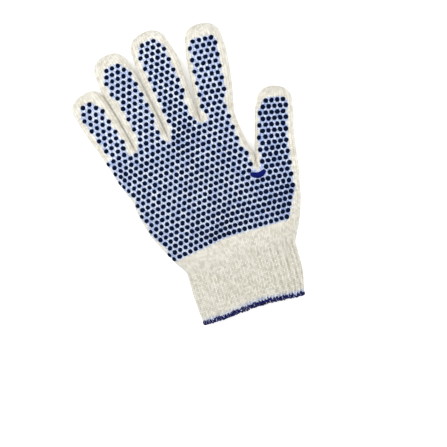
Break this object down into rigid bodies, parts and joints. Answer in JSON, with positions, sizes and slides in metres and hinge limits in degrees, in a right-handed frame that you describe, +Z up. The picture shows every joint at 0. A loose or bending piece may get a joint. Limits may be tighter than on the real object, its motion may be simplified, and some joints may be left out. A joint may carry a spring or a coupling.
{
  "type": "dotted work glove",
  "caption": "Right-hand knitted work glove with a ribbed cuff, overlocked hem and a palm side of raised grip dots, lying flat with the palm up and hollow from wrist to fingertips.",
  "frame": {"origin": "middle of the bottom of the glove's box, on the surface that it lies on", "axes": "+Y from the cuff to the fingertips, +X to the thumb's side, +Z up through the dotted palm side"},
  "size_m": [0.1686, 0.2346, 0.0138],
  "materials": {
    "knit": "unbleached cotton stockinette, soft and matt",
    "ribbing": "the same yarn knitted as ribs, matt",
    "overlock_thread": "dark blue textured sewing thread",
    "dot_print": "soft vinyl dots, satin"
  },
  "bodies": {
    "root": {"palm": "knit", "little_finger": "knit", "ring_finger": "knit", "middle_finger": "knit", "index_finger": "knit", "thumb": "knit", "rib_cuff": "ribbing", "hem_overlock": "overlock_thread", "print_smear": "dot_print"}
  },
  "joints": []
}
